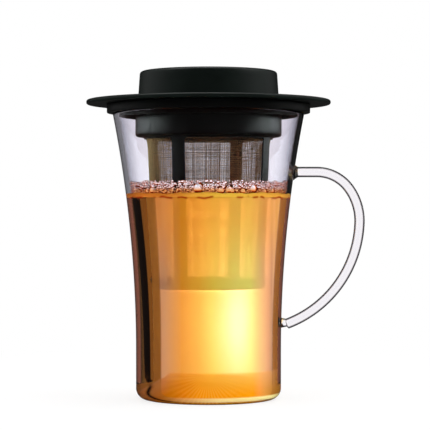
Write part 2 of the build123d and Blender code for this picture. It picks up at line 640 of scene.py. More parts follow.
@dataclass(frozen=True)
class DustAndPaintedLightTeaFinish(TeaFinish):
    """The tea's side, where fine leaf particles scatter a share of the light, in painted colours.

    The haze shows where the tea is looked into squarely, and reaches nearer the outline on the
    handle's side and at the foot. Its colours are painted light and shade: a yellow glow right of
    the middle where the lamp behind shines through, pink and brown painted shade near the outline,
    a painted highlight low on the foot, a paler band where the tea climbs the wall, brightened
    with painted light, and a painted dark line along its level. It is a deeper orange higher up
    and in a band low down, which has fine radial streaks. Lengths are in metres, and the colours
    run from 0 to 1 across the tea. A pair of limits says where something begins and where it is
    full, measured as Dress.facing where it is an edge. A bell has a middle and a width.
    """

    name: str = "tea"
    ior: float = 1.0
    width: float = 0.068
    level: float = 0.0941
    # Painted light across the tea: a yellow glow right of the middle, shade bands at the right.
    painted_light_across: tuple = (
        (0.206, (0.6, 0.48, 0.56)),
        (0.324, (0.92, 0.56, 0.1)),
        (0.44, (0.97, 0.72, 0.15)),
        (0.53, (0.92, 0.93, 0.25)),
        (0.676, (0.88, 1.0, 0.45)),
        (0.78, (0.88, 1.0, 0.47)),
        (0.853, (0.92, 0.72, 0.6)),
        (0.884, (0.95, 0.58, 0.54)),
        (0.905, (0.84, 0.44, 0.43)),
        (0.925, (0.57, 0.3, 0.32)),
        (0.942, (0.8, 0.46, 0.42)),
        (0.958, (0.62, 0.3, 0.22)),
        (0.972, (0.74, 0.42, 0.34)),
        (0.99, (0.42, 0.17, 0.08)),
    )
    # Deeper orange higher up the tea.
    upper_tone: tuple = (0.93, 0.48, 0.06)
    upper_tone_height: tuple = (0.055, 0.09)
    upper_tone_share: float = 0.6
    haze: float = 0.63
    haze_edge: tuple = (0.104, 0.122)
    # The haze and its shaded outline reach nearer the outline on the handle's side.
    handle_side_shift: float = 0.095
    handle_side_start: tuple = (0.0, 0.015)
    # A deeper orange band low in the tea, whose top drops towards the left, darker at both ends.
    low_band: tuple = (
        (0.17, (0.53, 0.22, 0.0)),
        (0.26, (0.62, 0.28, 0.0)),
        (0.34, (0.75, 0.31, 0.0)),
        (0.44, (0.86, 0.38, 0.0)),
        (0.8, (0.86, 0.38, 0.0)),
        (0.84, (0.86, 0.36, 0.1)),
        (0.88, (0.7, 0.34, 0.12)),
        (0.92, (0.55, 0.27, 0.09)),
        (0.96, (0.45, 0.2, 0.03)),
    )
    low_band_haze: float = 0.35
    low_band_steps: tuple = ((0.0138, 0.0154, 0.6), (0.004, 0.016, 0.4))
    slope_start: float = 0.017
    slope: float = 0.68
    # Painted shade: a brown band just inside the outline, redder on the right.
    rim_edge: tuple = (0.104, 0.114)
    rim_end: tuple = (0.146, 0.152)
    rim_haze: float = 0.93
    rim_shades: tuple = ((0.29, 0.175, 0.07), (0.32, 0.13, 0.045))
    rim_across: tuple = (0.4, 0.8)
    rim_in_low_band: float = 0.6
    foot_height: tuple = (0.0065, 0.0105)
    foot_widening: float = 0.14
    heel_height: float = 0.0075
    heel_lean: float = 8.0
    # Painted shade: a black line near the outline, low on the left.
    crease_bell: tuple = (0.166, 0.014)
    crease_end: tuple = (-0.02, -0.01)
    crease_shade: tuple = (0.0, 0.0, 0.0)
    # Fine radial streaks in the low band.
    streaks: float = 46.0
    streak_origin: float = 0.0135
    streak_bell: tuple = (0.0, 0.014)
    streak_share: float = 0.5
    streak_colour: tuple = (0.98, 0.62, 0.12)
    # Painted highlight: a pale band low on the foot.
    pale_height: tuple = ((0.0012, 0.0018), (0.003, 0.0038))
    pale_across: tuple = (0.15, 0.6)
    foot_highlight: tuple = (1.0, 1.0, 0.85)
    # The band where the tea climbs the wall: the thin tea's paler colour, brightened with painted
    # light.
    waterline_height: tuple = (-0.0001, 0.0004)
    waterline_bell: tuple = (0.6, 0.25)
    waterline_haze: float = 0.97
    waterline: tuple = ((0.68, 0.36, 0.1), (0.8, 0.68, 0.18))
    # Painted shade: a broken dark line along the tea's level.
    meniscus_shade_scales: tuple = (140.0, 170.0)
    meniscus_shade_wave: float = 0.0026
    meniscus_shade_bell: tuple = (0.0, 0.00046)
    meniscus_shade_gaps: tuple = (0.42, 0.55)
    meniscus_shade_haze: float = 0.95
    meniscus_shade_colour: tuple = (0.3, 0.03, 0.005)

    def skin(self, dress: Dress) -> Signal:
        """The clear surface under its haze: how much of it shows where, in which painted colour.

        Args:
            dress: the node tree that is drawn up.

        Returns:
            The surface.
        """
        facing = dress.facing()
        x, _, z = dress.axes(dress.place())
        slope = (-x - self.slope_start).most(0.0) * self.slope + z
        low_band = 1
        for *limits, share in self.low_band_steps:
            low_band = low_band - slope.eased(*limits) * share
        foot = z.faded(*self.foot_height)
        shifted = x.eased(*self.handle_side_start) * self.handle_side_shift
        # Where the painted shade near the outline lies.
        rim = (facing - shifted).eased(*self.rim_edge)
        off = facing - shifted.most(foot * self.foot_widening)
        # The band over the tea's level, brightened with painted light.
        band = (z - self.level).eased(*self.waterline_height)
        meniscus_shade = self._meniscus_shade(dress, z)
        share = off.faded(*self.haze_edge) * (low_band * self.low_band_haze + self.haze)
        share = share.most(off.faded(*self.rim_end) * rim * self.rim_haze)
        share = share.most(band * self.waterline_haze).most(meniscus_shade * self.meniscus_shade_haze)
        entering = 1 - dress.node("NewGeometry")[BACKFACING]

        across = x / self.width + 0.5
        # Painted shade: the black line near the outline at the foot.
        heel = (self.heel_height - z).most(0.0) * self.heel_lean
        crease = (facing - heel).bell(*self.crease_bell) * foot * x.faded(*self.crease_end)
        fan = dress.math("ARCTAN2", x, self.streak_origin - z) * self.streaks
        streak = (fan.math("SINE") * 0.5 + 0.5) * low_band * x.bell(*self.streak_bell)
        waterline = dress.blend(across.bell(*self.waterline_bell), *self.waterline)
        # Painted light and shade laid over the colour across the tea, layer by layer.
        colour = dress.layered(
            dress.ramp(self.painted_light_across, across),
            (z.eased(*self.upper_tone_height) * self.upper_tone_share, self.upper_tone),
            (low_band, dress.ramp(self.low_band, across)),
            (
                rim * (1 - low_band * self.rim_in_low_band),
                dress.blend(across.eased(*self.rim_across), *self.rim_shades),
            ),
            (streak * self.streak_share, self.streak_colour),
            (z.between(*self.pale_height) * across.eased(*self.pale_across), self.foot_highlight),
            (crease, self.crease_shade),
            (band, waterline),
            (meniscus_shade, self.meniscus_shade_colour),
        )
        cloudy = {"Base Color": colour, "Roughness": 1.0, "Specular IOR Level": 0.0}
        return dress.covered(super().skin(dress), (share * entering, dress.principled(cloudy)))

    def _meniscus_shade(self, dress: Dress, z: Signal) -> Signal:
        """Painted shade: a broken dark line along the tea's level, at the meniscus's edge.

        Args:
            dress: the node tree that is drawn up.
            z: height above the foot.

        Returns:
            The share that the line covers.
        """
        wave, gaps = (dress.noise(scale, 1.0, (1.0, 1.0, 0.0)) for scale in self.meniscus_shade_scales)
        off = z - self.level + (wave - 0.5) * self.meniscus_shade_wave
        return off.bell(*self.meniscus_shade_bell) * gaps.eased(*self.meniscus_shade_gaps)


@dataclass(frozen=True)
class BubbleFinish:
    """Tea foam: pale thin-walled bubbles with amber rims, and steeped ones under them.

    The amber rims, near black at the outline, and the darker undersides are painted shade.
    """

    name: str = "tea_foam"
    film: tuple = (0.97, 0.97, 1.0)
    steeped: tuple = (0.88, 0.45, 0.16)
    # Painted shade at the outline and underneath: amber, then near black.
    amber: tuple = (0.9, 0.26, 0.03)
    dark: tuple = (0.2, 0.008, 0.001)
    film_height: tuple = (0.0974, 0.0994)
    underside_shade: float = 0.9
    amber_edge: tuple = (0.2, 0.34)
    dark_edge: tuple = (0.33, 0.47)
    roughness: float = 0.08
    ior: float = 1.15
    thin: float = 0.85
    thin_edge: tuple = (0.1, 0.6)

    def make(self) -> bpy.types.Material:
        """Draw up the material.

        Returns:
            The material.
        """
        dress = Dress.material(self.name)
        facing = dress.facing()
        height = dress.axes(dress.place())[2]
        film = dress.blend(height.eased(*self.film_height), self.steeped, self.film)
        # Painted shade: darker on the undersides and towards the outline.
        under = -dress.axes(dress.node("NewGeometry")[NORMAL])[2]
        edge = facing.most(under * self.underside_shade)
        rim = dress.blend(edge.eased(*self.dark_edge), self.amber, self.dark)
        sockets = {
            "Base Color": dress.blend(edge.eased(*self.amber_edge), film, rim),
            "Roughness": self.roughness,
            "IOR": self.ior,
            "Alpha": facing.eased(*self.thin_edge) * (1 - self.thin) + self.thin,
        }
        return dress.output(dress.principled(sockets))


@dataclass(frozen=True)
class PlasticFinish:
    """Black moulded polypropylene with a fine spark-eroded grain."""

    name: str
    colour: tuple = (0.001, 0.0055, 0.0036)
    worn: tuple = (0.0022, 0.009, 0.006)
    ior: float = 1.49
    wear: tuple = (0.35, 0.75)
    wear_scale: float = 55.0
    roughness: tuple = (0.34, 0.42)
    grain: float = 9000.0
    grain_depth: float = 0.000012

    def make(self) -> bpy.types.Material:
        """Draw up the material.

        Returns:
            The material.
        """
        dress = Dress.material(self.name)
        cloud = dress.noise(self.wear_scale, 3.0)
        relief = {"Height": dress.noise(self.grain, 1.0), "Distance": self.grain_depth}
        least, most = self.roughness
        sockets = {
            "Base Color": dress.blend(cloud.eased(*self.wear), self.colour, self.worn),
            "Roughness": cloud * (most - least) + least,
            "Normal": dress.node("Bump", {}, {**relief, "Strength": 1.0})[0],
            "IOR": self.ior,
        }
        return dress.output(dress.principled(sockets))


BASKET_BLACK = PlasticFinish(
    "basket_plastic", (0.0004, 0.0018, 0.0012), (0.0009, 0.0032, 0.0022), ior=1.6
)
LID_BLACK = PlasticFinish("lid_plastic")


@dataclass(frozen=True)
class SteelFinish:
    """Stainless wire, stained by tea in patches, and amber all over up to the tea's level: the
    tea's stain, with painted glow of the wire lit through the tea.

    It is dark where it faces outwards. It is paler towards the basket's sides, left and right,
    and pale where it faces the axis, so that the far gauze looks lit through the near one: both
    are painted light. Lengths are in metres.
    """

    name: str = "gauze_steel"
    cool: tuple = (0.034, 0.028, 0.015)
    warm: tuple = (0.05, 0.024, 0.009)
    patches: float = 420.0
    patch_stretch: tuple = (1.0, 1.0, 0.35)
    patch_limits: tuple = (0.38, 0.6)
    # Painted light: paler towards the basket's sides, more on the left.
    flank_light: tuple = (0.34, 0.27, 0.12)
    left_flank: tuple = (0.017, 0.028)
    right_flank: tuple = (0.02, 0.03)
    right_share: float = 0.4
    # Painted light: pale where the wire faces the axis, so the far gauze looks lit.
    inside: tuple = (0.95, 0.6, 0.3)
    inside_limits: tuple = (-0.012, 0.004)
    # Below the tea's level: the tea's stain, with painted glow of the wire lit through the tea.
    amber: tuple = (0.62, 0.4, 0.165)
    stain_line: float = 0.0965
    stain_wave: float = 0.002
    stain_edge: tuple = (-0.0008, 0.0008)
    metallic: tuple = (0.15, 0.5)
    roughness: tuple = (0.35, 0.5)
    ior: float = 1.2

    def make(self) -> bpy.types.Material:
        """Draw up the material.

        Returns:
            The material.
        """
        dress = Dress.material(self.name)
        patch = dress.noise(self.patches, 2.0, self.patch_stretch)
        place = dress.place()
        x, _, z = dress.axes(place)
        normal = dress.node("NewGeometry")[NORMAL]
        level = dress.vector("MULTIPLY", place, (1.0, 1.0, 0.0))[0]
        outwards = dress.vector("DOT_PRODUCT", level, normal)[1]
        above_tea = (z - self.stain_line + (patch - 0.5) * self.stain_wave).eased(*self.stain_edge)
        # Painted light on the basket's sides.
        flank_light = (-x).eased(*self.left_flank) + x.eased(*self.right_flank) * self.right_share
        steel = dress.layered(
            self.cool,
            (patch.eased(*self.patch_limits), self.warm),
            (flank_light, self.flank_light),
            (outwards.faded(*self.inside_limits), self.inside),
        )
        (wet, dry), (least, most) = self.metallic, self.roughness
        sockets = {
            "Base Color": dress.blend(above_tea, self.amber, steel),
            "Metallic": above_tea * (dry - wet) + wet,
            "Roughness": patch * (most - least) + least,
            "IOR": self.ior,
        }
        return dress.output(dress.principled(sockets))


# The mug


@dataclass
class Cup:
    """Glass cup: a straight foot that flares to the lip on one long arc."""

    height: float = 134.0
    foot_radius: float = 34.0
    lip_radius: float = 45.0
    flare_start: float = 22.0
    wall: float = 2.2
    floor: float = 3.6
    heel_radius: float = 5.0
    inner_heel_radius: float = 4.0
    lip_rounding: float = 0.9
    lip_band: float = 3.0
    flow_marks: int = 58
    flow_depth: float = 0.05
    flow_reach: float = 24.0
    flow_fades: tuple = (3.0, 14.0)
    segments: int = 224

    def flare_radius(self) -> float:
        """Radius of the long arc: half of (rise squared + reach squared) / reach."""
        rise, reach = self.height - self.flare_start, self.lip_radius - self.foot_radius
        return (rise**2 + reach**2) / (2 * reach)

    def radius(self, height: Measure, inset: float = 0.0) -> Measure:
        """Radius of the wall at a height.

        Args:
            height: one height or many.
            inset: how far the surface lies within the outer one.

        Returns:
            The radius, straight under the flare and on the long arc in it.
        """
        arc = self.flare_radius()
        rise = np.maximum(height - self.flare_start, 0.0)
        return self.foot_radius + arc - np.sqrt((arc + inset) ** 2 - rise**2)

    def side(self, low: float, high: float, inset: float = 0.0, parts: int = 56) -> Array:
        """Outline of the side between two heights, from low to high."""
        height = np.linspace(low, high, parts)
        return np.stack((self.radius(height, inset), height), axis=-1)

    def outline(self) -> Array:
        """Outline of the whole wall, from the axis under the foot round to the axis inside.

        Returns:
            Array of points by 2: radius and height.
        """
        near_lip = self.height - self.lip_band
        inner = self.foot_radius - self.wall
        return rounded(
            [
                (0, 0),
                (self.foot_radius, 0, self.heel_radius),
                *self.side(self.flare_start, near_lip),
                (self.lip_radius, self.height, self.lip_rounding),
                (self.radius(self.height, self.wall), self.height, self.lip_rounding),
                *self.side(near_lip, self.flare_start, self.wall),
                (inner, self.floor, self.inner_heel_radius),
                (0, self.floor),
            ],
            step=1.5,
            steps=10,
        )

    def blank(self) -> bpy.types.Object:
        """The wall, revolved, with the faint radial flow marks that pressing leaves in its floor.

        A mark's height is its depth x cos(marks x angle), eased in and out along the radius.

        Returns:
            The wall, before it is fused.
        """
        points = revolve(self.outline(), full_turn(self.segments))
        radius = np.hypot(points[..., 0], points[..., 1])
        angle = np.arctan2(points[..., 1], points[..., 0])
        inside = np.abs(points[..., 2] - self.floor) < NEAR
        begin, end = self.flow_fades
        fade = np.clip(radius / begin, 0, 1) * np.clip((self.flow_reach - radius) / end, 0, 1)
        points[..., 2] += inside * fade * self.flow_depth * np.cos(self.flow_marks * angle)
        return solid("cup_blank", points)


@dataclass
class Handle:
    """Glass handle: one bent rod, fused to the wall by a gather of glass at each end."""

    cup: Cup
    rod_radius: float = 2.447
    top_height: float = 106.4
    foot_height: float = 35.0
    run: float = 8.5
    shoulder: tuple = (18.6, 54.0)
    side: tuple = (26.0, 38.0)
    top_gather: tuple = (2.2, 3.8)
    foot_gather: tuple = (2.4, 2.4)
    foot_neck: float = 1.7
    foot_rise: float = 0.6
    bite: float = 1.1
    end_rounding: float = 0.7
    end_margin: float = 1.2
    bead: tuple = (0.22, 0.9, 0.3)
    lead_in: float = 0.4
    run_parts: int = 8
    bend_parts: int = 41
    gather_parts: int = 14
    neck_parts: int = 13
    end_parts: int = 6
    segments: int = 40

    def route(self) -> tuple[Array, Array]:
        """The rod's centreline, and its direction at each point, in the XZ plane.

        It is a straight and three arcs. An arc of curvature k that starts at heading h is at
        (sin(h + ks) - sin h) / k, (cos h - cos(h + ks)) / k after a length s, and the last one's
        turn is twice the angle between its heading and the chord to its end.

        Returns:
            Array of points by 2, radius and height, and one of headings in radians.
        """
        start = self.cup.radius(self.top_height) + self.top_gather[0]
        foot = self.cup.radius(self.foot_height) + self.foot_gather[0]
        end, count = np.array((foot, self.foot_height)), self.run_parts
        place, heading = np.array((start + self.run, self.top_height)), 0.0
        places = [np.stack((np.linspace(start, place[0], count), np.full(count, place[1])), -1)]
        headings = [np.zeros(count)]
        for radius, degrees in (self.shoulder, self.side, (None, None)):
            if radius is None:
                chord = end - place
                off = heading - np.arctan2(chord[1], chord[0])
                turn, radius = 2 * off, np.linalg.norm(chord) / (2 * np.sin(off))
            else:
                turn = np.radians(degrees)
            swept = heading - turn * np.linspace(0, 1, self.bend_parts + 1)[1:]
            offset = np.stack(
                (np.sin(heading) - np.sin(swept), np.cos(swept) - np.cos(heading)), axis=-1
            )
            places.append(place + radius * offset)
            headings.append(swept)
            place, heading = places[-1][-1], swept[-1]
        return np.concatenate(places), np.concatenate(headings)

    def carried(self, places: Array, headings: Array, radii: Array) -> Array:
        """Rings of given radii carried along a path in the XZ plane, at right angles to it.

        Args:
            places: array of points by 2: radius and height.
            headings: direction of the path at each, in radians.
            radii: radius of the ring at each.

        Returns:
            Array of rings by points by 3.
        """
        across = np.stack((-np.sin(headings), np.zeros(len(headings)), np.cos(headings)), axis=-1)
        centre = np.stack((places[:, 0], np.zeros(len(places)), places[:, 1]), axis=-1)
        angle = full_turn(self.segments)[None, :, None]
        ring = across[:, None] * np.cos(angle) + np.array((0, 1, 0)) * np.sin(angle)
        return centre[:, None] + radii[:, None, None] * ring

    def rod(self) -> bpy.types.Object:
        """The rod and its top gather: one round section along the route.

        The gather widens from the rod to the wall on a circular arc, with a faint bead where the
        two melts met, and the lower end is fire-rounded.

        Returns:
            The rod, before it is fused.
        """
        places, headings = self.route()
        length, wide = self.top_gather
        grown = wide - self.rod_radius
        arc = (length**2 + grown**2) / (2 * grown)
        wall = places[0, 0] - length
        swell, middle, width = self.bead
        outside = np.linspace(0, length, self.gather_parts + 1)[:-1]
        lead = np.concatenate(([-self.bite, -self.bite, -self.lead_in], outside))
        flare = self.rod_radius + arc - np.sqrt(arc**2 - (length - np.maximum(lead, 0)) ** 2)
        flare += swell * np.exp(-(((lead - middle) / width) ** 2))
        flare[0] = 0
        lead_places = np.stack((wall + lead, np.full(len(lead), self.top_height)), axis=-1)
        swing = np.linspace(0, np.pi / 2, self.end_parts + 1)[1:]
        back, ahead = self.end_rounding, np.array((np.cos(headings[-1]), np.sin(headings[-1])))
        cut = places[-1] - ahead * back
        inside = np.linalg.norm(places - places[-1], axis=1) > back * self.end_margin
        end = cut + np.outer(np.sin(swing) * back, ahead)
        end_radii = self.rod_radius - back + back * np.cos(swing)
        all_places = np.concatenate((lead_places, places[inside], cut[None], end, end[-1:]))
        count = (len(lead), inside.sum(), 1 + len(end) + 1)
        all_headings = np.concatenate(
            (np.zeros(count[0]), headings[inside], np.full(count[2], headings[-1]))
        )
        radii = np.concatenate(
            (flare, np.full(count[1] + 1, self.rod_radius), end_radii, np.zeros(1))
        )
        return solid("rod_blank", self.carried(all_places, all_headings, radii))

    def foot(self) -> bpy.types.Object:
        """The small gather that the rod's end was pressed on: a neck that flares to the wall.

        Returns:
            The gather, before it is fused.
        """
        places, _ = self.route()
        length, wide = self.foot_gather
        outer = places[-1, 0] + self.rod_radius
        span = length + self.rod_radius
        grown = wide - self.foot_neck
        arc = (span**2 + grown**2) / (2 * grown)
        neck = np.linspace(0, span, self.neck_parts + 1)[1:]
        out = np.concatenate(([0.0, 0.0], neck, [span + self.bite] * 2))
        radii = self.foot_neck + arc - np.sqrt(arc**2 - np.minimum(out, span) ** 2)
        radii[[0, -1]] = 0
        line = np.stack((outer - out, np.full(len(out), self.foot_height + self.foot_rise)), -1)
        return solid("foot_blank", self.carried(line, np.full(len(out), np.pi), radii))


@dataclass
class Mug:
    """The cup and its handle, one piece of glass."""

    cup: Cup
    handle: Handle
    skin: float = 0.9

    def build(self) -> bpy.types.Object:
        """Fuse the cup, the rod and the foot gather; what stands off the wall is rod glass.

        Returns:
            The piece, which rides on its body.
        """
        glass = fused("mug_glass", self.cup.blank(), self.handle.rod(), self.handle.foot())
        for finish in (WALL_GLASS, ROD_GLASS):
            glass.data.materials.append(finish.make())
        radius, height = face_places(glass)
        give_second(glass, radius - self.cup.radius(height) > self.skin)
        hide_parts("glass_cup", "glass_handle", "handle_top_gather", "handle_foot_gather")
        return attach(glass, Body.MUG.value)


@dataclass
class Tea:
    """The tea: it fills the cup to its level and climbs a little where it meets the wall."""

    cup: Cup
    level: float = 94.1
    overlap: float = 1.85
    floor_overlap: float = 3.25
    climb: float = 2.1
    reach: float = 1.3
    waves: tuple = ((7, 0.7, 1.0), (19, 0.0, 0.7), (43, 2.0, 0.5))
    wave_height: float = 0.22
    side_gap: float = 0.3
    surface_parts: int = 39
    skin: float = 0.15
    segments: int = 192

    def waterline(self, angle: Array) -> Array:
        """Height that the tea climbs at the wall, uneven where bubbles lean on it.

        It is the climb + the sum of waves: share x sin(count x angle + shift).
        """
        wave = sum(share * np.sin(count * angle + shift) for count, shift, share in self.waves)
        return self.climb + self.wave_height * wave

    def build(self) -> bpy.types.Object:
        """Revolve the tea's outline, and lift its surface towards the wall.

        The lift is the climb at that angle x e to the power of -(distance to the wall / reach).

        Returns:
            The piece, which rides on its body.
        """
        cup, inset = self.cup, self.cup.wall - self.overlap
        floor, top = cup.floor - self.floor_overlap, cup.radius(self.level, inset)
        side = rounded(
            [
                (0, floor),
                (cup.foot_radius - inset, floor, cup.heel_radius - inset),
                *cup.side(cup.flare_start, self.level - self.side_gap, inset),
                (top, self.level),
            ]
        )
        inward = top * (1 - np.linspace(0, 1, self.surface_parts + 1) ** 2)[1:]
        surface = np.stack((inward, np.full(self.surface_parts, self.level)), -1)
        angle, edge = full_turn(self.segments), len(side) - 1
        body = revolve(np.concatenate((side, surface)), angle)
        distance = top - np.hypot(body[edge:, :, 0], body[edge:, :, 1])
        body[edge:, :, 2] += self.waterline(angle) * np.exp(-distance / self.reach)
        height = body[edge, :, 2]
        body[edge] = polar(cup.radius(height, inset), angle, height)
        tea = solid("tea", body, DustAndPaintedLightTeaFinish().make(), TeaFinish().make())
        radius, height = face_places(tea)
        depth = cup.radius(height, inset) - radius
        give_second(tea, (height > self.level - NEAR) & (depth > self.skin))
        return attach(tea, Body.MUG.value)


@dataclass
class Foam:
    """A ring of bubbles where the tea meets the wall, with a few large ones among them."""

    cup: Cup
    tea: Tea
    bubbles: int = 3400
    large: int = 26
    large_radii: tuple = (1.2, 2.3)
    large_rise: float = 1.6
    large_gap: float = 0.1
    domes: tuple = (-97.5, -55.9)
    dome_radius: float = 2.7
    small_gamma: tuple = (5.0, 0.088)
    small_radii: tuple = (0.28, 0.9)
    small_gap: float = 0.05
    layer_foot: float = 2.4
    layer_height: float = 5.2
    layer_power: float = 1.4
    spread: tuple = (0.9, 4.0)
    overlap: float = 0.2
    cuts: tuple = (5, 1)
    seed: int = 7

    def ball(self, cuts: int) -> tuple[Array, Array]:
        """Vertices and faces of a unit ball: a cube whose edges are cut and pushed outwards.

        Args:
            cuts: how often each edge of the cube is cut.

        Returns:
            Array of vertices by 3, and one of faces by 4 corners.
        """
        build = bmesh.new()
        bmesh.ops.create_cube(build, size=2.0)
        bmesh.ops.subdivide_edges(build, edges=build.edges, cuts=cuts, use_grid_fill=True)
        build.verts.index_update()
        points = np.array([v.co for v in build.verts])
        faces = np.array([[v.index for v in f.verts] for f in build.faces])
        build.free()
        return points / np.linalg.norm(points, axis=1, keepdims=True), faces

    def scatter(self, shell: Shell, cuts: int, centres: Array, radii: Array) -> None:
        """Add one ball for each centre and radius.

        Args:
            shell: what they are added to.
            cuts: fineness of the balls.
            centres: array of balls by 3.
            radii: one radius for each.
        """
        points, faces = self.ball(cuts)
        balls = centres[:, None] + radii[:, None, None] * points
        steps = np.arange(len(centres))[:, None, None] * len(points)
        shell.add(balls, faces[None] + steps)

    def build(self) -> bpy.types.Object:
        """Place large bubbles half sunk at the wall, and small ones in layers between them.

        A small bubble's radius is drawn from a gamma distribution, and its way in from the wall
        from an exponential one, times what is left of the layer's height above it.

        Returns:
            The piece, which rides on its body.
        """
        draw, shell, count = np.random.default_rng(self.seed), Shell(), self.bubbles
        large_cuts, small_cuts = self.cuts
        angle = np.concatenate((np.radians(self.domes), draw.uniform(0, TURN, self.large)))
        radii = draw.uniform(*self.large_radii, len(angle))
        radii[: len(self.domes)] = self.dome_radius
        height = self.tea.level + self.large_rise + radii
        wall = self.cup.radius(height, self.cup.wall)
        domes = polar(wall - radii - self.large_gap, angle, height)
        self.scatter(shell, large_cuts, domes, radii)
        angle = draw.uniform(0, TURN, count)
        small = draw.gamma(*self.small_gamma, count).clip(*self.small_radii)
        layer = draw.uniform(0, 1, count) ** self.layer_power
        height = self.tea.level + self.layer_foot + layer * self.layer_height
        wall = self.cup.radius(height, self.cup.wall)
        mean, most = self.spread
        inward = draw.exponential(mean, count).clip(0, most) * (1 - layer)
        places = polar(wall - small - self.small_gap - inward, angle, height)
        apart = np.linalg.norm(places[:, None] - domes, axis=-1) - radii
        free = apart.min(axis=1) > self.overlap * small
        self.scatter(shell, small_cuts, places[free], small[free])
        foam = shell.piece("tea_foam", BubbleFinish().make())
        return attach(foam, Body.MUG.value)


# The infuser basket


@dataclass
class Basket:
    """Moulded infuser basket: a rim dish, a collar, and a cage of ribs with gauze let into it."""

    cup: Cup
    dish_radius: float = 47.7
    dish_height: float = 4.0
    dish_wall: float = 1.8
    dish_floor: float = 1.8
    dish_rounding: float = 0.4
    ring_depth: float = 2.0
    ring_wall: float = 1.6
    ring_clearance: float = 0.45
    collar_radius: float = 34.3
    collar_wall: float = 1.8
    collar_depth: float = 11.0
    collar_rounding: float = 1.2
    shoulder_drop: float = 0.6
    shoulder_cove: float = 0.3
    cage_top_radius: float = 30.3
    cage_foot_radius: float = 27.0
    cage_wall: float = 1.8
    depth: float = 82.0
    foot_ring_height: float = 4.8
    foot_taper_height: float = 3.6
    foot_taper: float = 1.2
    ledge_width: float = 2.4
    ledge_height: float = 1.6
    window_head: float = 0.7
    window_rounding: float = 1.0
    rib_count: int = 4
    rib_width: float = 7.0
    first_rib_angle: float = -117.0
    gauze_thickness: float = 0.3
    gauze_clearance: float = 0.05
    sleeve_seat: float = 0.8
    sleeve_flare: float = 0.7
    sleeve_flare_height: float = 6.0
    flare_limit: float = 1.2
    edge_rounding: float = 0.3
    small_rounding: float = 0.3
    border_rise: float = 0.4
    border_drop: float = 0.6
    sill_parts: int = 18
    corner_parts: int = 6
    jamb_parts: int = 50
    edge_parts: int = 5
    border_shares: tuple = (0, 0.35, 0.7)
    taper_rounding: float = 0.45
    finish: PlasticFinish = BASKET_BLACK

    def __post_init__(self) -> None:
        """Work out the heights that follow from the sizes."""
        lip = self.cup.height
        self.cage_top = lip - self.collar_depth - self.shoulder_drop
        self.foot = lip - self.depth
        self.ledge_top = self.foot + self.ledge_height
        self.window_foot = self.foot + self.foot_ring_height
        self.window_top = self.cage_top - self.window_head
        self.sleeve_foot = self.window_foot - self.sleeve_seat
        self.sleeve_top = self.window_top + self.sleeve_seat

    def cage_radius(self, height: Measure, inset: float = 0.0) -> Measure:
        """Radius of the cage's outer cone at a height, less an inset."""
        taper = (self.cage_top_radius - self.cage_foot_radius) / (self.cage_top - self.foot)
        return self.cage_foot_radius + taper * (height - self.foot) - inset

    def sleeve_radius(self, height: Measure) -> Measure:
        """Radius of the gauze's inner face: the cage's bore, flared on an arc towards its top.

        Args:
            height: one height or many.

        Returns:
            The radius there.
        """
        flare = self.sleeve_flare_height
        rise = np.clip((height - self.sleeve_top + flare) / flare, 0, self.flare_limit)
        return self.cage_radius(height, self.cage_wall) + self.sleeve_flare * rise**2

    def bore(self, height: Measure) -> Measure:
        """Radius of the rebate that the gauze lies in, at a height."""
        return self.sleeve_radius(height) + self.gauze_thickness + self.gauze_clearance

    def half_width(self, height: float) -> float:
        """Half a window's width at a height, measured straight across the cage's outer face.

        It is R sin(half a step - a), where sin a is half a rib's width / R.
        """
        radius = self.cage_radius(height)
        return radius * np.sin(np.pi / self.rib_count - np.arcsin(self.rib_width / 2 / radius))

    def stations(self) -> tuple[Array, Array]:
        """Divide the straights of a window.

        Returns:
            Shares along half a sill or head, and heights up a jamb, less the last.
        """
        low, high = (self.window_foot, self.window_top) + np.array((1, -1)) * self.window_rounding
        level = np.linspace(0, 1, self.sill_parts + 1)[:-1]
        return level, np.linspace(low, high, self.jamb_parts + 1)[:-1]

    def window_loop(self, offset: float) -> Array:
        """Points round a window's rounded outline, set off from it into the wall.

        Its right half runs from the middle of the sill along the sill, a corner arc, the jamb and
        the upper corner arc to the middle of the head, and the left half mirrors it.

        Args:
            offset: distance from the outline.

        Returns:
            Array of points by 2: distance across, and height.
        """
        low, high = self.window_foot, self.window_top
        wide, top_wide = self.half_width(low), self.half_width(high)
        turn, (level, jamb) = self.window_rounding, self.stations()
        swing = np.linspace(0, np.pi / 2, self.corner_parts + 1)[:-1]
        out, up = (turn + offset) * np.sin(swing), (turn + offset) * np.cos(swing)
        share = (jamb - low) / (high - low)
        stretches = (
            (level * (wide - turn), np.full(len(level), low - offset)),
            (wide - turn + out, low + turn - up),
            (wide + (top_wide - wide) * share + offset, jamb),
            (top_wide - turn + up, high - turn + out),
            ((1 - level) * (top_wide - turn), np.full(len(level), high + offset)),
        )
        return self.mirrored(np.concatenate([np.stack(s, -1) for s in stretches]), high + offset)

    def border_loop(self) -> Array:
        """Points round a window's share of the cage, one for each of the window's own.

        Returns:
            Array of points by 2: angle from the window's middle, and height.
        """
        low, high = self.window_foot, self.window_top
        turn, edge = self.window_rounding, np.pi / self.rib_count
        foot, head = low - self.border_drop, high + self.border_rise
        ends = [
            np.arcsin((self.half_width(z) - turn) / self.cage_radius(z)) for z in (low, high)
        ]
        level, jamb = self.stations()
        arc = np.linspace(0, 2, self.corner_parts + 1)[:-1]
        along, up = np.minimum(arc, 1), np.maximum(arc - 1, 0)
        stretches = (
            (level * ends[0], np.full(len(level), foot)),
            (ends[0] + (edge - ends[0]) * along, foot + (low + turn - foot) * up),
            (np.full(len(jamb), edge), jamb),
            (edge + (ends[1] - edge) * up, high - turn + (head - high + turn) * along),
            ((1 - level) * ends[1], np.full(len(level), head)),
        )
        return self.mirrored(np.concatenate([np.stack(s, -1) for s in stretches]), head)

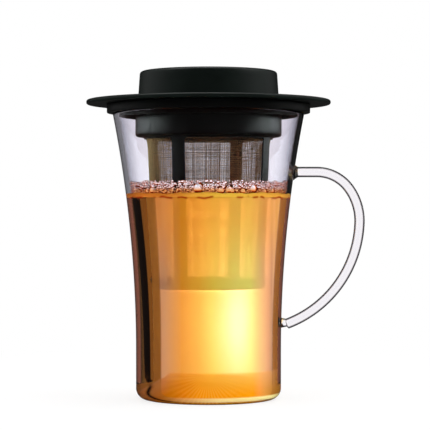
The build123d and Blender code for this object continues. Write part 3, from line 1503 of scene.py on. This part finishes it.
    @staticmethod
    def mirrored(right: Array, top: float) -> Array:
        """Close a right half, whose first point lies on the middle line, with its mirror image."""
        return np.concatenate((right, [[0.0, top]], right[:0:-1] * (-1, 1)))

    def window(self) -> Array:
        """One window's share of the cage, round the wall's outer face, opening and inner face.

        Each row is the window's outline set off by r(1 - sin a) and sunk by r(1 - cos a) along its
        rounded edges, with the distance across kept through the wall, and blends into the border
        in angle and height on both faces.

        Returns:
            Array of rows by points by 3, about a window in the +X direction.
        """
        border, round_off = self.border_loop(), self.edge_rounding
        swing = np.linspace(0, np.pi / 2, self.edge_parts + 1)
        rows = []
        for face, sign in ((self.cage_radius, -1), (self.bore, 1)):
            edge = []
            for a in swing:
                across, height = self.window_loop(round_off * (1 - np.sin(a))).T
                radius = face(height) + sign * round_off * (1 - np.cos(a))
                edge.append((np.arcsin(across / radius), height, radius))
            first = np.stack(edge[0][:2], -1)
            plain = [border + (first - border) * share for share in self.border_shares]
            side = [(*p.T, face(p[:, 1])) for p in plain] + edge
            rows += side if sign < 0 else side[::-1]
        angle, height, radius = np.array(rows).transpose(1, 0, 2)
        return polar(radius, angle, height)

    def upper(self) -> Array:
        """Outline of what lies over the windows, from the cage's face round to its bore.

        Returns:
            Array of points by 2: radius and height.
        """
        cup, lip, corner = self.cup, self.cup.height, self.small_rounding
        start = self.window_top + self.border_rise
        ring_foot = lip - self.ring_depth
        ring = cup.radius(ring_foot, cup.wall) - self.ring_clearance
        slope = self.shoulder_drop / (self.collar_radius - self.cage_top_radius)
        lift = self.cage_wall * (np.sqrt(1 + slope**2) - slope)
        mouth = self.sleeve_radius(self.sleeve_top)
        bore, floor = self.collar_radius - self.collar_wall, lip + self.dish_floor
        collar_foot, seat = lip - self.collar_depth, lip + self.dish_height
        return rounded(
            [
                (self.cage_radius(start), start),
                (self.cage_top_radius, self.cage_top, self.shoulder_cove),
                (self.collar_radius, collar_foot, self.collar_rounding),
                (self.collar_radius, lip, corner),
                (ring - self.ring_wall, lip, corner),
                (ring - self.ring_wall, ring_foot, corner),
                (ring, ring_foot, corner),
                (ring, lip, corner),
                (self.dish_radius, lip, self.dish_rounding),
                (self.dish_radius, seat, self.dish_rounding),
                (self.dish_radius - self.dish_wall, seat, corner),
                (self.dish_radius - self.dish_wall, floor, corner),
                (bore, floor, corner),
                (bore, collar_foot + lift, corner),
                (mouth, self.cage_top + lift, corner),
                (mouth, self.sleeve_top),
                (self.bore(self.sleeve_top), self.sleeve_top),
                (self.bore(start), start),
            ],
            steps=5,
        )

    def lower(self) -> Array:
        """Outline of what lies under the windows, from the cage's face round to its bore.

        Returns:
            Array of points by 2: radius and height.
        """
        start, corner = self.window_foot - self.border_drop, self.small_rounding
        taper_top = self.foot + self.foot_taper_height
        inner = self.cage_radius(self.foot, self.cage_wall) - self.ledge_width
        ledge, seat = self.ledge_top, self.sleeve_foot
        return rounded(
            [
                (self.cage_radius(start), start),
                (self.cage_radius(taper_top), taper_top, self.taper_rounding),
                (self.cage_radius(taper_top) - self.foot_taper, self.foot, corner),
                (inner, self.foot, corner),
                (inner, ledge, corner),
                (self.cage_radius(ledge, self.cage_wall), ledge),
                (self.cage_radius(seat, self.cage_wall), seat),
                (self.bore(seat), seat),
                (self.bore(start), start),
            ],
            steps=5,
        )

    def build(self) -> bpy.types.Object:
        """Join the windows' shares of the cage with what lies over and under them.

        Returns:
            The piece, which rides on its body.
        """
        shell, window, border = Shell(), self.window(), self.border_loop()
        step = TURN / self.rib_count
        middles = np.radians(self.first_rib_angle) + step * (np.arange(self.rib_count) + 0.5)
        for middle in middles:
            cos, sin = np.cos(middle), np.sin(middle)
            shell.grid(window @ np.array(((cos, sin, 0), (-sin, cos, 0), (0, 0, 1))))
        for outline in (self.upper(), self.lower()):
            level = np.abs(border[:, 1] - outline[0, 1]) < NEAR
            angles = np.unique(border[level, 0])[:-1]
            shell.grid(revolve(outline, (middles[:, None] + angles).ravel()))
        made = shell.piece("basket_frame", self.finish.make(), weld=True)
        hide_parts("infuser_frame")
        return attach(made, Body.INFUSER.value)


@dataclass
class Gauze:
    """Plain-woven steel gauze: a tapered sleeve and a disc, each wire passing over and under."""

    basket: Basket
    pitch: float = 0.5
    wire: float = 0.095
    crimp: float = 0.45
    unevenness: float = 0.09
    disc_gap: float = 0.15
    seed: int = 3
    finish: SteelFinish = SteelFinish()

    @staticmethod
    def over(wires: int, crossings: int) -> Array:
        """1 where a wire passes over the one that it crosses, and -1 where it passes under."""
        return np.where(np.add.outer(np.arange(wires), np.arange(crossings)) % 2, -1.0, 1.0)

    def sleeve(self) -> list[bpy.types.Object]:
        """Weave the sleeve: wires up its side, and rings that cross them.

        At crossing i, j the upright wire lies half a wire outwards where i + j is even and
        inwards where it is odd, and the ring the other way.

        Returns:
            Two pieces of uprights and two of rings, which ride on the infuser.
        """
        cage = self.basket
        low, high = cage.sleeve_foot, cage.sleeve_top
        rows = int((high - low) / self.pitch)
        columns = 2 * int(np.pi * cage.cage_radius((low + high) / 2) / self.pitch)
        draw = np.random.default_rng(self.seed)
        uneven = self.unevenness / cage.cage_foot_radius
        height = np.linspace(low, high, rows)
        height[1:-1] += draw.normal(0, self.unevenness, rows - 2)
        angle = full_turn(columns) + draw.normal(0, uneven, columns)
        middle = cage.sleeve_radius(height) + cage.gauze_thickness / 2
        weave = self.over(columns, rows) * self.wire * self.crimp
        upright = polar(middle + weave, angle[:, None], height)
        rings = polar(middle - weave, angle[:, None], height).transpose(1, 0, 2)
        outward = polar(1.0, angle[:, None], np.zeros(rows))
        steel = self.finish.make()
        made = []
        for name, path, out, closed in (
            ("gauze_uprights", upright, outward, False),
            ("gauze_rings", rings, outward.transpose(1, 0, 2), True),
        ):
            corners = tubes(path, out, self.wire, closed)
            for half, part in zip("ab", np.array_split(corners, 2)):
                shell = Shell()
                add_wires(shell, part, closed)
                made.append(self.dressed(shell, f"{name}_{half}", "mesh_sleeve", steel))
        return made

    def disc(self) -> bpy.types.Object:
        """Weave the floor disc: two sets of straight wires, cut to a circle.

        Returns:
            The piece, which rides on its body.
        """
        cage = self.basket
        radius = cage.cage_radius(cage.ledge_top, cage.cage_wall) - self.disc_gap
        half = int(radius / self.pitch)
        across = np.arange(-half, half + 1) * self.pitch
        line, along = np.meshgrid(across, across, indexing="ij")
        weave = self.over(len(across), len(across)) * self.wire * self.crimp
        middle = cage.ledge_top + cage.gauze_thickness / 2
        inside = np.hypot(line, along) < radius
        kept = inside[:, :-1] & inside[:, 1:]
        out = np.zeros((*line.shape, 3))
        out[..., 2] = 1
        shell = Shell()
        for sign, order in ((1, (0, 1)), (-1, (1, 0))):
            flat = np.stack((line, along), axis=-1)[..., order]
            path = np.concatenate((flat, (middle + sign * weave)[..., None]), axis=-1)
            add_wires(shell, tubes(path, out, self.wire, False), False, kept)
        return self.dressed(shell, "gauze_disc", "mesh_floor", self.finish.make())

    def dressed(
        self, shell: Shell, name: str, node: str, steel: bpy.types.Material
    ) -> bpy.types.Object:
        """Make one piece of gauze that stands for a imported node.

        Args:
            shell: its wires.
            name: name of the piece.
            node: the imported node.
            steel: its material.

        Returns:
            The piece, which rides on its body.
        """
        made = shell.piece(name, steel)
        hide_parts(node)
        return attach(made, Body.INFUSER.value)


# The lid


@dataclass
class Lid:
    """Hat-shaped moulded lid, whose brim stands on the dish's wall."""

    basket: Basket
    brim_radius: float = 57.3
    brim_thickness: float = 2.0
    brim_rounding: float = 0.8
    crown_foot_radius: float = 33.1
    crown_top_radius: float = 32.2
    crown_height: float = 13.5
    crown_rounding: float = 1.5
    crown_foot_rounding: float = 0.8
    wall: float = 1.8
    spigot_wall: float = 1.6
    spigot_depth: float = 1.5
    spigot_clearance: float = 0.6
    small_rounding: float = 0.25
    segments: int = 224
    finish: PlasticFinish = LID_BLACK

    def outline(self) -> Array:
        """Outline of the lid's wall, from the axis on top round to the axis inside.

        Returns:
            Array of points by 2: radius and height.
        """
        dish, corner = self.basket, self.small_rounding
        seat = dish.cup.height + dish.dish_height
        brim_top = seat + self.brim_thickness
        top = brim_top + self.crown_height
        spigot = dish.dish_radius - dish.dish_wall - self.spigot_clearance
        foot, inner = seat - self.spigot_depth, spigot - self.spigot_wall
        bore = self.crown_foot_radius - self.wall
        return rounded(
            [
                (0, top),
                (self.crown_top_radius, top, self.crown_rounding),
                (self.crown_foot_radius, brim_top, self.crown_foot_rounding),
                (self.brim_radius, brim_top, self.brim_rounding),
                (self.brim_radius, seat, self.brim_rounding),
                (spigot, seat, corner),
                (spigot, foot, corner),
                (inner, foot, corner),
                (inner, seat, corner),
                (bore, seat, corner),
                (bore, brim_top, corner),
                (self.crown_top_radius - self.wall, top - self.wall, self.wall / 2),
                (0, top - self.wall),
            ]
        )

    def build(self) -> bpy.types.Object:
        """Revolve the outline.

        Returns:
            The piece, which rides on its body.
        """
        points = revolve(self.outline(), full_turn(self.segments))
        made = solid("hat_lid", points, self.finish.make())
        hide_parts("lid")
        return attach(made, Body.LID.value)


# The studio


DEGREES = 57.3  # to the radian
WHITE = (1.0, 1.0, 1.0)
ANY, ONE_WALL, DRY_CUP = 0.5, 2.5, 4.5  # depths of a light path, each between two counts


class Ray:
    """What the light that reaches the surroundings or the floor has met on its way.

    The faces that it has passed tell where it comes from: none on the mug's outside, up to two
    in one wall or the rod, more within the cup or beyond it, and over four only through the tea.
    """

    def __init__(self, dress: Dress) -> None:
        """Read the path and tell its cases apart.

        Args:
            dress: the node tree that is drawn up.
        """
        path = dress.node("LightPath")
        faces = path[TRANSMISSION_DEPTH]
        self.camera, self.passed = path[IS_CAMERA], path[IS_TRANSMISSION]
        self.scattered, self.mirrored = path[DIFFUSE_DEPTH].over(ANY), path[GLOSSY_DEPTH].over(ANY)
        self.outside = faces.under(ANY)
        self.in_wall = faces.over(ANY) * faces.under(ONE_WALL)
        self.in_tea, self.beyond_tea = faces.over(ONE_WALL), faces.over(DRY_CUP)


class Way(Ray):
    """Light that reaches the surroundings, and the direction that it takes, in degrees.

    The edges of the cards lean one way above a knee in the rise, and another below it. level is
    the rise, no lower than the knee, and steep is how far below the knee it lies.
    """

    def __init__(self, dress: Dress, knee: float) -> None:
        """Read the path and work out the angles.

        Args:
            dress: the node tree that is drawn up.
            knee: rise at which the edges of the cards bend.
        """
        super().__init__(dress)
        self.sideways, ahead, up = dress.axes(dress.node("TexCoord")[GENERATED])
        self.turn = dress.math("ARCTAN2", self.sideways, ahead) * DEGREES
        self.left, self.side = -self.turn, self.turn * self.turn
        self.rise = up * DEGREES
        self.level, self.steep = self.rise.most(knee), (knee - self.rise).most(0.0)

    def edge(self, turn: float, lean: float, lean_below: float) -> Signal:
        """How far left a card's edge lies: its turn, and its leans above and below the knee."""
        return self.level * lean - self.steep * lean_below + turn


@dataclass(frozen=True)
class Surroundings:
    """White backdrop with cards at its side, and the room that surfaces mirror and are lit by.

    The backdrop is white to the eye. Through the tea it also shows what stands in front of it, a
    grey card and black ones at both sides, and the glow of a lamp behind it. Light that was
    mirrored on the way sees side panels in a dark room, and scattered light an even room that is
    brighter towards the lamp. Angles are in degrees. A pair of limits says where something begins
    and where it is full, and a bell has a middle and a width.
    """

    knee: float = -6.0
    black: float = 0.99
    black_inner: tuple = (8.9, 0.2, 0.33)
    black_inner_fade: tuple = (0.0, 0.5)
    black_outer: tuple = (23.0, 1.9, 0.4)
    black_outer_fade: tuple = (-0.8, 0.8)
    black_right: tuple = ((25.0, 27.0), (30.0, 34.0))
    grey: tuple = (0.72, 0.25)
    grey_inner: tuple = (4.5, 0.0, 0.3)
    grey_fade: tuple = (0.0, 0.4)
    grey_end: tuple = (38.0, 44.0)
    grey_lift: tuple = (4.0, 10.0)
    card_colour: tuple = (1.0, 0.6, 0.2)
    glow: float = 5.3
    glow_bells: tuple = ((1.8, 2.15), (-3.4, 2.0))
    veil: float = 2.7
    veil_bell: tuple = (0.6, 3.0)
    veil_rise: tuple = (-2.6, -2.2)
    core_bells: tuple = ((1.85, 1.4), (-3.4, 1.7))
    glow_colour: tuple = (0.85, 0.85, 2.4)
    panels: tuple = (0.35, 1.4, 3.6)
    panel_turns: tuple = ((20.0, 62.0), (86.0, 118.0))
    panel_rise: tuple = (0.9, 2.2)
    panel_colour: tuple = (0.85, 1.0, 0.92)
    wing: float = 0.3
    wing_turns: tuple = ((4.0, 10.0), (50.0, 60.0))
    table: float = 0.36
    table_turns: tuple = ((3.0, 9.0), (32.0, 42.0))
    table_rise: tuple = (-8.0, 0.8)
    table_colour: tuple = (1.0, 0.36, 0.22)
    ceiling: float = 2.0
    ceiling_rise: tuple = (50.0, 53.0)
    gloom: tuple = (0.003, 0.02)
    lit_side: tuple = (-0.1, 0.85)
    steeped: tuple = (1.8, 4.5)
    steeped_colours: tuple = ((1.0, 0.4, 0.085), (0.95, 1.0, 0.4))
    even: tuple = (1.1, 0.7, 1.7)

    def backdrop(self, way: Way) -> tuple[Signal, Signal, Signal]:
        """Draw up what is seen behind the mug.

        Args:
            way: the light that arrives.

        Returns:
            Its strength, and the shares of the grey card and the glow's core.
        """
        inner = (way.left - way.edge(*self.black_inner)).eased(*self.black_inner_fade)
        outer = (way.edge(*self.black_outer) - way.left).eased(*self.black_outer_fade)
        black = (inner * outer + way.turn.between(*self.black_right)) * self.black
        grey = (way.left - way.edge(*self.grey_inner)).eased(*self.grey_fade)
        card = grey * way.left.faded(*self.grey_end) * way.beyond_tea
        dark, lift = self.grey
        shaded = 1 - card * (dark - way.steep.eased(*self.grey_lift) * lift)
        glow, core = (
            way.turn.bell(*across) * way.rise.bell(*up)
            for across, up in (self.glow_bells, self.core_bells)
        )
        veil = way.turn.bell(*self.veil_bell) * way.rise.eased(*self.veil_rise) * self.veil
        shown = shaded * (1 - black * way.beyond_tea) + (glow * self.glow + veil) * way.beyond_tea
        return way.camera.shared(shown, 1.0), card, core * way.beyond_tea

    def room(self, way: Way) -> Signal:
        """The strength of what is mirrored: panels, a wing, the table's edge and a ceiling.

        Args:
            way: the light that arrives.

        Returns:
            The strength.
        """
        outside, in_wall, in_tea = self.panels
        panels = way.side.between(*np.square(self.panel_turns)) * way.rise.eased(*self.panel_rise)
        panels = panels * (way.outside * outside + way.in_wall * in_wall + way.in_tea * in_tea)
        low, high = self.table_rise
        table = way.side.between(*np.square(self.table_turns)) * way.in_tea
        table = table * way.rise.under(high) * way.rise.over(low) * self.table
        wing = way.left.between(*self.wing_turns) * way.in_wall * self.wing
        ceiling = way.rise.eased(*self.ceiling_rise) * way.outside * self.ceiling
        least, in_tea = self.gloom
        seen = panels + wing + table + ceiling + way.in_tea * in_tea
        return seen * (1 - way.beyond_tea) + least

    def build(self) -> None:
        """Draw up the world."""
        world = bpy.data.worlds.new("surroundings")
        bpy.context.scene.world = world
        dress = Dress(world)
        way = Way(dress, self.knee)
        backdrop, card, core = self.backdrop(way)
        lit = way.sideways.eased(*self.lit_side)
        steeped = way.in_wall * way.scattered
        least, to_lamp, in_tea = self.even
        elsewhere = lit * to_lamp + least + way.in_tea * in_tea
        even = steeped.shared(elsewhere, lit.shared(*self.steeped))
        strength = way.scattered.shared(way.mirrored.shared(backdrop, self.room(way)), even)
        seen = (1 - way.scattered) * (1 - way.camera)
        deep = way.in_tea * way.mirrored
        colour = dress.layered(
            WHITE,
            (card * seen, self.card_colour),
            (core * seen, self.glow_colour),
            (deep, self.panel_colour),
            (deep * way.rise.under(self.table_rise[1]), self.table_colour),
            (steeped, dress.blend(lit, *self.steeped_colours)),
        )
        sky = {"Color": colour, "Strength": strength}
        dress.output(dress.node("Background", {}, sky)[0])


@dataclass(frozen=True)
class FloorFinish:
    """Pale floor that keeps a faint shadow, and is darker to what mirrors it. Lengths in metres."""

    name: str = "floor_white"
    pale: tuple = (0.86, 0.86, 0.86)
    dark: tuple = (0.03, 0.03, 0.03)
    muddy: tuple = (0.35, 0.15, 0.06)
    own_light: tuple = (0.75, 0.25)
    shadow_end: tuple = (0.06, 0.3)

    def make(self) -> bpy.types.Material:
        """Draw up the material.

        Returns:
            The material.
        """
        dress = Dress.material(self.name)
        ray = Ray(dress)
        away = dress.node("VectorMath", {"operation": "LENGTH"}, {0: dress.place()})[1]
        least, more = self.own_light
        own = (away.eased(*self.shadow_end) * more + least) * ray.camera
        pale, dark = (
            dress.node("BsdfDiffuse", {}, {"Color": colour})[0]
            for colour in ((*self.pale, 1), dress.blend(ray.in_tea, self.dark, self.muddy))
        )
        white = dress.node("Emission", {}, {"Color": (*WHITE, 1), "Strength": 1.0})[0]
        clear = dress.node("BsdfTransparent")[0]
        surface = dress.covered(
            pale,
            (ray.mirrored * (1 - ray.in_wall), dark),
            (own, white),
            (ray.passed * (1 - ray.scattered), clear),
        )
        return dress.output(surface)


@dataclass
class Studio:
    """Pale floor, white surroundings, soft lamps and a level camera."""

    distance: float = 850.0
    shift_x: float = 3.05
    eye_height: float = 86.2
    view_width: float = 202.0
    sensor: float = 36.0
    floor_reach: float = 9000.0
    aim_height: float = 80.0
    lamp_size: float = 500.0
    lamps: tuple = (("key_lamp", (-700, -300, 900), 1.5), ("fill_lamp", (800, -200, 700), 1.0))

    def floor(self) -> bpy.types.Object:
        """A wide floor.

        Returns:
            The floor, which is staging.
        """
        shell = Shell()
        corners = np.array(((-1, -1, 0), (1, -1, 0), (1, 1, 0), (-1, 1, 0)), float)
        shell.add(self.floor_reach * corners, np.array([[0, 1, 2, 3]]))
        floor = shell.piece("studio_floor", FloorFinish().make())
        return floor

    def lamp(self, name: str, place: tuple, watts: float) -> None:
        """A square soft lamp that looks at the mug's middle.

        Args:
            name: name of the lamp.
            place: where it stands.
            watts: its power.
        """
        light = bpy.data.lights.new(name, "AREA")
        light.size, light.energy = self.lamp_size * MM, watts
        made = placed(name, light)
        made.location = Vector(place) * MM
        aim = Vector((0, 0, self.aim_height * MM)) - made.location
        made.rotation_euler = aim.to_track_quat("-Z", "Y").to_euler()

    def camera(self) -> None:
        """A long lens, level with the middle of the mug and straight in front of it."""
        lens = bpy.data.cameras.new("camera")
        lens.sensor_width = self.sensor
        lens.lens = self.sensor * self.distance / self.view_width
        made = placed("camera", lens)
        made.location = Vector((self.shift_x, -self.distance, self.eye_height)) * MM
        made.rotation_euler = (np.pi / 2, 0, 0)
        bpy.context.scene.camera = made

    def build(self) -> None:
        """Set up the studio."""
        bpy.context.scene.view_settings.view_transform = "Standard"
        Surroundings().build()
        self.floor()
        for lamp in self.lamps:
            self.lamp(*lamp)
        self.camera()


def main() -> None:
    """Build the pieces in order, and log how many faces each has."""
    logging.basicConfig(level=logging.INFO, format="%(name)s: %(message)s")
    cup = Cup()
    tea = Tea(cup)
    basket = Basket(cup)
    gauze = Gauze(basket)
    pieces = [Mug(cup, Handle(cup)).build(), tea.build(), Foam(cup, tea).build()]
    pieces += [basket.build(), *gauze.sleeve(), gauze.disc(), Lid(basket).build()]
    for piece in pieces:
        log.info("%s: %d faces", piece.name, len(piece.data.polygons))
    Studio().build()


if __name__ == "__main__":
    main()
